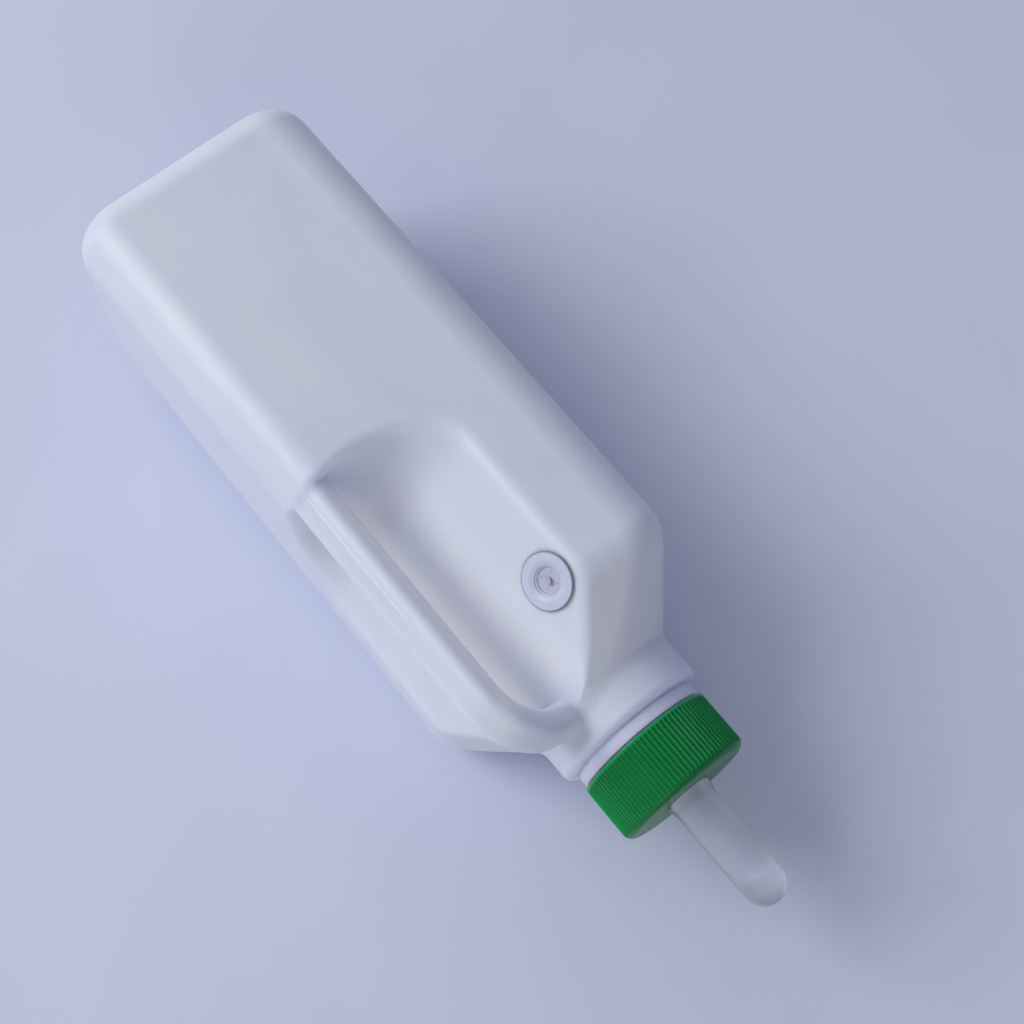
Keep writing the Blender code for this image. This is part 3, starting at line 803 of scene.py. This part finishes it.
def noise(tree, scale, detail, stretch=(1, 1, 1)):
    """Noise in the object's own coordinates, stretched along its axes. Scale is waves per metre."""
    place = tree.nodes.new("ShaderNodeTexCoord")
    mapping = tree.nodes.new("ShaderNodeMapping")
    mapping.inputs["Scale"].default_value = stretch
    texture = tree.nodes.new("ShaderNodeTexNoise")
    texture.inputs["Scale"].default_value = scale
    texture.inputs["Detail"].default_value = detail
    tree.links.new(place.outputs["Object"], mapping.inputs["Vector"])
    tree.links.new(mapping.outputs["Vector"], texture.inputs["Vector"])
    return texture.outputs["Fac"]


def spread(tree, factor, low, high):
    """Turns a noise factor, which mostly lies between 0.3 and 0.7, into a value between low and high."""
    node = tree.nodes.new("ShaderNodeMapRange")
    node.inputs["From Min"].default_value = 0.3
    node.inputs["From Max"].default_value = 0.7
    node.inputs["To Min"].default_value = low
    node.inputs["To Max"].default_value = high
    tree.links.new(factor, node.inputs["Value"])
    return node.outputs["Result"]


def tint(tree, factor, first, second):
    """A colour between two, by a factor."""
    node = tree.nodes.new("ShaderNodeMix")
    node.data_type = "RGBA"
    node.inputs["A"].default_value = (*first, 1)
    node.inputs["B"].default_value = (*second, 1)
    tree.links.new(factor, node.inputs["Factor"])
    return node.outputs["Result"]


def blend(tree, factor, first, second):
    """A linked colour that turns into a plain one, by a factor."""
    node = tree.nodes.new("ShaderNodeMix")
    node.data_type = "RGBA"
    tree.links.new(first, node.inputs["A"])
    node.inputs["B"].default_value = second
    tree.links.new(factor, node.inputs["Factor"])
    return node.outputs["Result"]


def ranged(tree, value, start, end):
    """0 before start and 1 after end, of a linked value."""
    node = tree.nodes.new("ShaderNodeMapRange")
    node.inputs["From Min"].default_value = start
    node.inputs["From Max"].default_value = end
    tree.links.new(value, node.inputs["Value"])
    return node.outputs["Result"]


def from_centre(tree, centre):
    """A point's offset from a centre, in the object's own coordinates."""
    place = tree.nodes.new("ShaderNodeTexCoord")
    away = tree.nodes.new("ShaderNodeVectorMath")
    away.operation = "SUBTRACT"
    away.inputs[1].default_value = centre
    tree.links.new(place.outputs["Object"], away.inputs[0])
    return away.outputs["Vector"]


def axis_distance(tree, centre, start, end):
    """0 to 1 with the distance from an X axis through a centre, in the object's own coordinates."""
    flat = tree.nodes.new("ShaderNodeVectorMath")
    flat.operation = "MULTIPLY"
    flat.inputs[1].default_value = (0, 1, 1)
    length = tree.nodes.new("ShaderNodeVectorMath")
    length.operation = "LENGTH"
    tree.links.new(from_centre(tree, centre), flat.inputs[0])
    tree.links.new(flat.outputs["Vector"], length.inputs[0])
    return ranged(tree, length.outputs["Value"], start, end)


def bump(tree, height, distance, before=None):
    """A normal bumped by a height, on top of another bump if there is one."""
    node = tree.nodes.new("ShaderNodeBump")
    node.inputs["Strength"].default_value = 1.0
    node.inputs["Distance"].default_value = distance
    tree.links.new(height, node.inputs["Height"])
    if before is not None:
        tree.links.new(before, node.inputs["Normal"])
    return node.outputs["Normal"]


def along(tree, way, centre):
    """How far a point lies from a centre along a direction, in the object's own coordinates."""
    dot = tree.nodes.new("ShaderNodeVectorMath")
    dot.operation = "DOT_PRODUCT"
    dot.inputs[1].default_value = way
    tree.links.new(from_centre(tree, centre), dot.inputs[0])
    return dot.outputs["Value"]


def maths(tree, operation, first, second=None):
    """A linked value worked out from one or two others."""
    node = tree.nodes.new("ShaderNodeMath")
    node.operation = operation
    tree.links.new(first, node.inputs[0])
    if second is not None:
        tree.links.new(second, node.inputs[1])
    return node.outputs["Value"]


def seam_highlight_mask(tree):
    """1 on the fine line along the raised seam where the handle's outer face was trimmed, where a highlight
    is painted, and 0 elsewhere.
    """
    from_plane = maths(tree, "ABSOLUTE", along(tree, CROSS_WAY, BODY_CENTRE + CROSS_WAY * SEAM_B))
    line = ranged(tree, from_plane, SEAM_WIDTH, 0.4 * SEAM_WIDTH)
    outer = ranged(tree, along(tree, HANDLE_WAY, BODY_CENTRE), HANDLE_A + 4 * MM, HANDLE_A + 5 * MM)
    x = along(tree, Vector((1, 0, 0)), BODY_CENTRE)
    begun = ranged(tree, x, SEAM_X[0], SEAM_X[0] + SEAM_FADE[0])
    ended = ranged(tree, x, SEAM_X[1], SEAM_X[1] - SEAM_FADE[1])
    across = maths(tree, "MULTIPLY", line, outer)
    return maths(tree, "MULTIPLY", across, maths(tree, "MULTIPLY", begun, ended))


def grip_painted_light_mask(tree):
    """1 under the handle, where light is painted over the shade of the handle's inner side and of the recess
    beside it, and 0 elsewhere.
    """
    b = maths(tree, "ABSOLUTE", along(tree, CROSS_WAY, BODY_CENTRE))
    a = along(tree, HANDLE_WAY, BODY_CENTRE)
    x = along(tree, Vector((1, 0, 0)), BODY_CENTRE)
    near = ranged(tree, b, *GRIP_B)
    below = ranged(tree, a, *GRIP_TOP_A)
    above = ranged(tree, a, *GRIP_BOTTOM_A)
    begun = ranged(tree, x, *GRIP_START_X)
    ended = ranged(tree, x, *GRIP_END_X)
    across = maths(tree, "MULTIPLY", near, maths(tree, "MULTIPLY", below, above))
    return maths(tree, "MULTIPLY", across, maths(tree, "MULTIPLY", begun, ended))


def bottle_material():
    """Satin, slightly translucent polyethylene: cloudy in tint, with an orange-peel skin."""
    made, tree, shader = new_material("bottle_polyethylene")
    cloud = noise(tree, 28, 3, (0.5, 1, 1))
    colour = tint(tree, spread(tree, cloud, 0, 1), *BOTTLE_COLOURS)
    # Painted light under the handle, lifting the shade of its inner side and of the recess.
    colour = blend(tree, grip_painted_light_mask(tree), colour, GRIP_PAINTED_LIGHT_COLOUR)
    # Painted highlight along the handle's seam.
    tree.links.new(blend(tree, seam_highlight_mask(tree), colour, SEAM_HIGHLIGHT_COLOUR), shader.inputs["Base Color"])
    tree.links.new(spread(tree, noise(tree, 160, 4), 0.36, 0.46), shader.inputs["Roughness"])
    waves = bump(tree, noise(tree, 90, 2), 0.10 * MM)
    skin = bump(tree, noise(tree, 1500, 3), 0.012 * MM, waves)
    tree.links.new(skin, shader.inputs["Normal"])
    shader.inputs["IOR"].default_value = 1.5
    shader.inputs["Subsurface Weight"].default_value = 0.9
    shader.inputs["Subsurface Radius"].default_value = (1.0, 1.0, 1.0)
    shader.inputs["Subsurface Scale"].default_value = 4 * MM
    return made


def cap_material():
    """Green polypropylene, with a highlight painted paler on its rib crests and its outermost bands."""
    made, tree, shader = new_material("cap_polypropylene")
    cloud = noise(tree, 120, 3)
    deep = tint(tree, spread(tree, cloud, 0, 1), *CAP_COLOURS)
    # Painted highlight on the rib crests and on the cap's plain bands at its full radius.
    crest_highlight = axis_distance(tree, NECK_CENTRE, CAP_R - 0.35 * MM, CAP_R)
    green = blend(tree, crest_highlight, deep, RIB_CREST_HIGHLIGHT_COLOUR)
    tree.links.new(green, shader.inputs["Base Color"])
    tree.links.new(spread(tree, noise(tree, 400, 3), 0.26, 0.34), shader.inputs["Roughness"])
    tree.links.new(bump(tree, noise(tree, 1800, 3), 0.006 * MM), shader.inputs["Normal"])
    shader.inputs["IOR"].default_value = 1.36
    return made


def silicone_material(name, colour, roughness, transmission, marks):
    """Clear silicone, frosted by its roughness, with fine flow marks along its length."""
    made, tree, shader = new_material(name)
    cloud = noise(tree, 220, 3, (0.25, 1, 1))
    paler = tuple(min(1.0, part * 1.04) for part in colour)
    tree.links.new(tint(tree, spread(tree, cloud, 0, 1), colour, paler), shader.inputs["Base Color"])
    rough = spread(tree, noise(tree, 500, 3, (0.3, 1, 1)), roughness - 0.04, roughness + 0.04)
    tree.links.new(rough, shader.inputs["Roughness"])
    tree.links.new(bump(tree, noise(tree, 300, 2, (0.3, 1, 1)), marks), shader.inputs["Normal"])
    shader.inputs["IOR"].default_value = 1.41
    shader.inputs["Transmission Weight"].default_value = transmission
    return made


def valve_painted_shade(made):
    """Paints shade into the valve's silicone: darker in its cup, and a dark outline at its flange's rim. X is
    the valve's axis.
    """
    tree = made.node_tree
    shader = tree.nodes["Principled BSDF"]
    depth = along(tree, Vector((1, 0, 0)), Vector((0, 0, 0)))
    inside = ranged(tree, depth, 0.2 * MM, -0.8 * MM)
    colour = shader.inputs["Base Color"].links[0].from_socket
    # Painted shade inside the cup.
    cloudy = blend(tree, inside, colour, CUP_SHADE_COLOUR)
    # Painted shade: a dark outline round the flange's rim.
    rim = axis_distance(tree, Vector((0, 0, 0)), GROMMET_FLANGE_R - 0.7 * MM, GROMMET_FLANGE_R - 0.4 * MM)
    tree.links.new(blend(tree, rim, cloudy, VALVE_RIM_SHADE_COLOUR), shader.inputs["Base Color"])


def floor_material():
    """Pale blue paper, very slightly uneven."""
    made, tree, shader = new_material("floor_paper")
    colour = tint(tree, spread(tree, noise(tree, 5, 2), 0, 1), *FLOOR_COLOURS)
    tree.links.new(colour, shader.inputs["Base Color"])
    tree.links.new(bump(tree, noise(tree, 12, 2), 1.0 * MM), shader.inputs["Normal"])
    shader.inputs["Roughness"].default_value = 0.6
    return made


# --- stage ----------------------------------------------------------------------------------------

def make_floor():
    """A wide sheet of paper just under the bottle."""
    bm = bmesh.new()
    bmesh.ops.create_grid(bm, x_segments=2, y_segments=2, size=2.5)
    floor = finish_mesh("floor", bm)
    floor.location.z = cad_bounds[0].z - 0.1 * MM
    floor.data.materials.append(floor_material())


def make_light(name, azimuth, elevation, size, power, colour):
    """A square soft light that faces the bottle. Azimuth is counted as the camera's is."""
    lamp = bpy.data.lights.new(name, "AREA")
    lamp.size = size
    lamp.energy = power
    lamp.color = colour
    light = bpy.data.objects.new(name, lamp)
    bpy.context.scene.collection.objects.link(light)
    a, e = math.radians(azimuth), math.radians(elevation)
    way = Vector((math.sin(a) * math.cos(e), -math.cos(a) * math.cos(e), math.sin(e)))
    light.location = way * LIGHT_DISTANCE
    light.rotation_euler = (-way).to_track_quat("-Z", "Y").to_euler()


def make_world():
    """An even, pale blue sky."""
    world = bpy.data.worlds.new("studio")
    world.use_nodes = True
    background = world.node_tree.nodes["Background"]
    background.inputs["Color"].default_value = (*WORLD_COLOUR, 1)
    background.inputs["Strength"].default_value = WORLD_STRENGTH
    bpy.context.scene.world = world


def make_camera():
    """A camera high above the bottle's cap end, on the side of its handle."""
    camera = bpy.data.objects.new("camera", bpy.data.cameras.new("camera"))
    bpy.context.scene.collection.objects.link(camera)
    flat = math.cos(CAMERA_ELEVATION)
    side, ahead = math.sin(CAMERA_AZIMUTH), math.cos(CAMERA_AZIMUTH)
    back = Vector((side * flat, -ahead * flat, math.sin(CAMERA_ELEVATION)))
    camera.location = CAMERA_TARGET + back * CAMERA_DISTANCE
    camera.rotation_euler = (-back).to_track_quat("-Z", "Y").to_euler()
    camera.data.lens = CAMERA_LENS
    camera.data.clip_start = 0.02
    bpy.context.scene.camera = camera


# --- build ----------------------------------------------------------------------------------------

def show(piece, body, node, made):
    """Puts a fine piece in place of a CAD node."""
    piece.data.materials.clear()
    piece.data.materials.append(made)
    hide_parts(node)
    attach(piece, body)


def main():
    """Builds every piece, gives each its look and its body, and sets the stage."""
    shell = make_body()
    applied(shell, [plug("valve_hole", -4 * WALL, WALL, VALVE_HOLE_R, valve_matrix())])
    exact_normals(shell)
    show(shell, "bottle", "bottle_body", bottle_material())
    show(make_cap(), "cap", "screw_cap", cap_material())
    teat_look = silicone_material("teat_silicone", TEAT_COLOUR, 0.40, 0.95, 0.002 * MM)
    show(make_teat(), "teat", "teat", teat_look)
    plug_look = silicone_material("valve_silicone", VALVE_COLOUR, 0.35, 0.0, 0.001 * MM)
    valve_painted_shade(plug_look)
    show(make_grommet(), "bottle", "valve_grommet", plug_look)
    disc_look = silicone_material("disc_silicone", DISC_COLOUR, 0.4, 0.1, 0.01 * MM)
    show(make_flap(), "flap", "valve_flap", disc_look)
    make_floor()
    make_world()
    for light in LIGHTS:
        make_light(*light)
    make_camera()
    bpy.context.scene.view_settings.view_transform = "Standard"


main()
